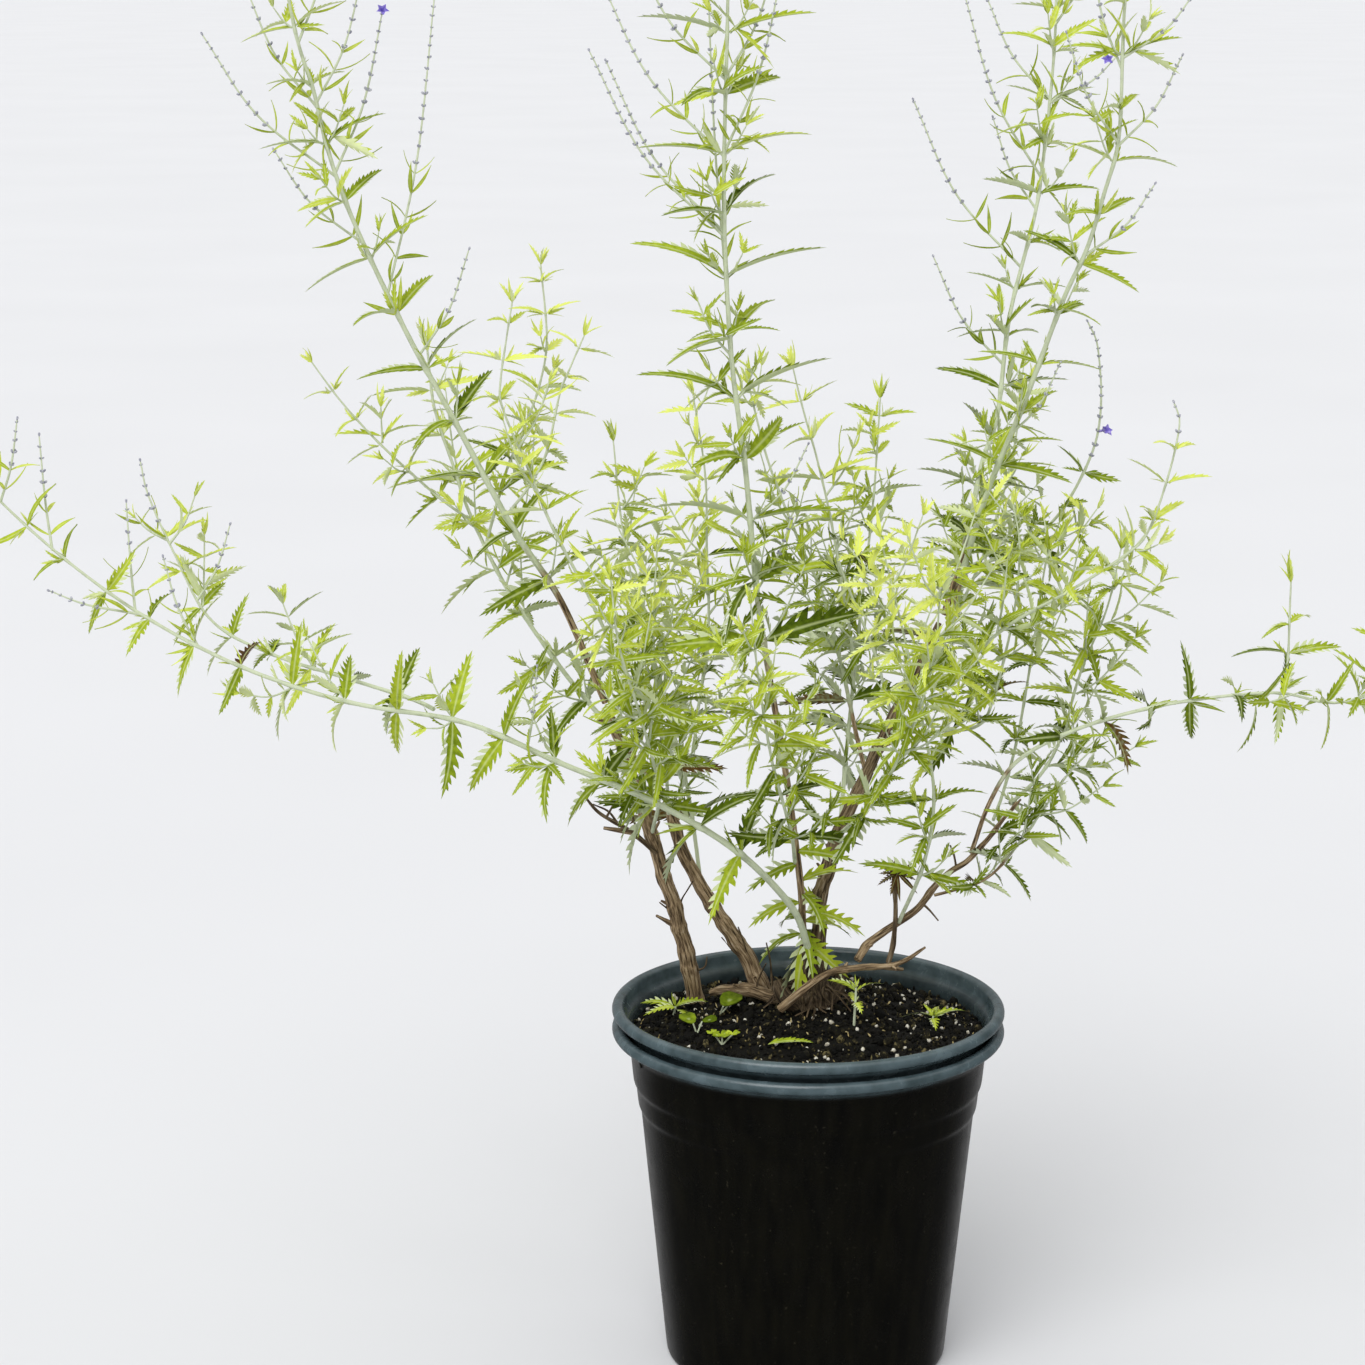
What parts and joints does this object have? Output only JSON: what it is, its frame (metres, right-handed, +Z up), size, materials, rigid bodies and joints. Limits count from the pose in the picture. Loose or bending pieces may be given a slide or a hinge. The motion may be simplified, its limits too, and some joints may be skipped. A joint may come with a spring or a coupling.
{
  "type": "potted sage plant",
  "caption": "Leafy Russian sage shrub with finely cut leaves and slim flower spikes, growing in a nest of round nursery pots.",
  "frame": {"origin": "centre of the outer pot's foot, on the surface it stands on", "axes": "+Z up the plant, +Y away from the viewing side, +X to the viewer's right"},
  "size_m": [0.8025, 0.3243, 0.905],
  "materials": {
    "pot_plastic": "satin black-green moulded plastic with a blue-grey sheen on the rims",
    "potting_mix": "damp crumbly mix with white perlite",
    "bark": "rough grey-brown fissured bark",
    "green_stem_and_leaf": "pale grey-green downy stems with matt yellow-green leaves",
    "seedling_leaf": "soft bright green",
    "dead_leaf": "dry brown"
  },
  "bodies": {
    "root": {"outer_pot": "pot_plastic", "inner_pot": "pot_plastic", "potting_mix": "potting_mix", "root_crown": "bark", "woody_cane_left": "bark", "woody_cane_middle": "bark", "woody_cane_right": "bark", "surface_root": "bark", "dry_forked_twig": "bark", "low_woody_branch": "bark", "dead_upright_twig": "bark", "dead_twig_left": "bark", "tall_stem_left": "green_stem_and_leaf", "tall_stem_left_rear": "green_stem_and_leaf", "side_branch_left_rear": "green_stem_and_leaf", "young_shoot_rear": "green_stem_and_leaf", "young_shoot_middle": "green_stem_and_leaf", "young_shoot_front": "green_stem_and_leaf", "long_low_stem": "green_stem_and_leaf", "long_low_stem_upper": "green_stem_and_leaf", "tall_stem_centre": "green_stem_and_leaf", "tall_stem_right_front": "green_stem_and_leaf", "tall_stem_right_rear": "green_stem_and_leaf", "flower_spike_stem": "green_stem_and_leaf", "leafy_stem_right_front": "green_stem_and_leaf", "leafy_stem_right": "green_stem_and_leaf", "far_right_stem": "green_stem_and_leaf", "far_right_upright_shoot": "green_stem_and_leaf", "rear_centre_stem": "green_stem_and_leaf", "young_shoot_centre": "green_stem_and_leaf", "wilted_shoot": "green_stem_and_leaf", "bush_shoot_left": "green_stem_and_leaf", "bush_shoot_left_centre": "green_stem_and_leaf", "low_twig_right": "green_stem_and_leaf", "bush_shoot_right_front": "green_stem_and_leaf", "bush_shoot_right": "green_stem_and_leaf", "bush_shoot_far_right": "green_stem_and_leaf", "bush_shoot_rear_left": "green_stem_and_leaf", "bush_shoot_rear": "green_stem_and_leaf", "bush_shoot_rear_right": "green_stem_and_leaf", "bush_shoot_front": "green_stem_and_leaf", "bush_shoot_front_right": "green_stem_and_leaf", "bush_shoot_front_left": "green_stem_and_leaf", "sage_seedling_left": "seedling_leaf", "sage_seedling_right": "seedling_leaf", "seedling_centre": "seedling_leaf", "wood_sorrel": "seedling_leaf", "wood_sorrel_small": "seedling_leaf", "clover": "seedling_leaf", "fallen_leaf": "seedling_leaf", "curled_dead_leaf": "dead_leaf"}
  },
  "joints": []
}
